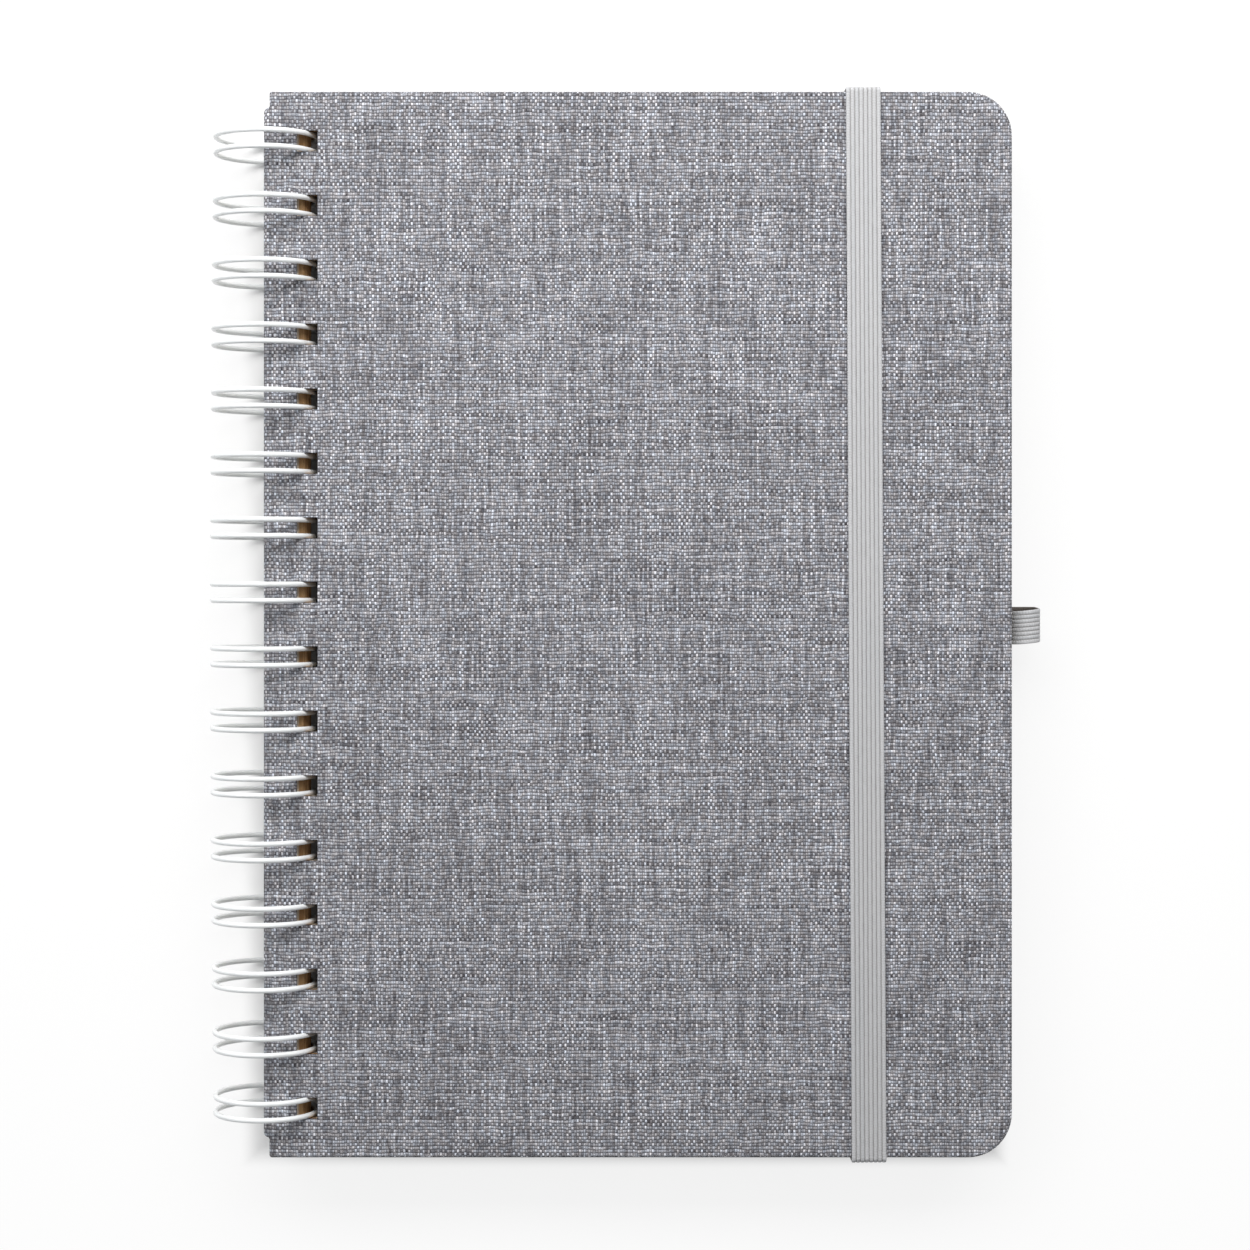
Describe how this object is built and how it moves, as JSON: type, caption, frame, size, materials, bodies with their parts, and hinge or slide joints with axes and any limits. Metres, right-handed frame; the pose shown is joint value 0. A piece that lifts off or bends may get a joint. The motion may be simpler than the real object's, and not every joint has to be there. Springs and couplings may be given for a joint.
{
  "type": "wire-bound notebook",
  "caption": "Side-bound notebook with cloth covers on twin-loop wire, an elastic strap and a pen loop at the fore edge.",
  "frame": {"origin": "middle of the notebook's bounding box, at the lowest point of the wire loops", "axes": "+X from the bound edge to the fore edge, +Y from tail to head, +Z out of the front cover"},
  "size_m": [0.1644, 0.212, 0.0211],
  "materials": {
    "cloth": "matte heather weave",
    "board": "raw grey board",
    "lining": "matte",
    "paper": "matte",
    "wire": "white nylon coated wire, satin",
    "elastic": "matte ribbed elastic"
  },
  "bodies": {
    "back_cover": {"back_cloth": "cloth", "back_board": "board", "back_lining": "lining", "wire_comb": "wire", "elastic_strap": "elastic", "pen_loop": "elastic"},
    "pages": {"page_block": "paper"},
    "front_cover": {"front_cloth": "cloth", "front_board": "board", "front_lining": "lining"}
  },
  "joints": [
    {"name": "pages_turn", "type": "hinge", "parent": "back_cover", "child": "pages", "pos_m": [-0.07166, 0, 0.01057], "axis": [0, -1, 0], "range_deg": [0, 180], "deforming": ["elastic_strap"]},
    {"name": "front_cover_turn", "type": "hinge", "parent": "pages", "child": "front_cover", "pos_m": [-0.07166, 0, 0.01057], "axis": [0, -1, 0], "range_deg": [0, 180], "deforming": ["elastic_strap"]}
  ]
}
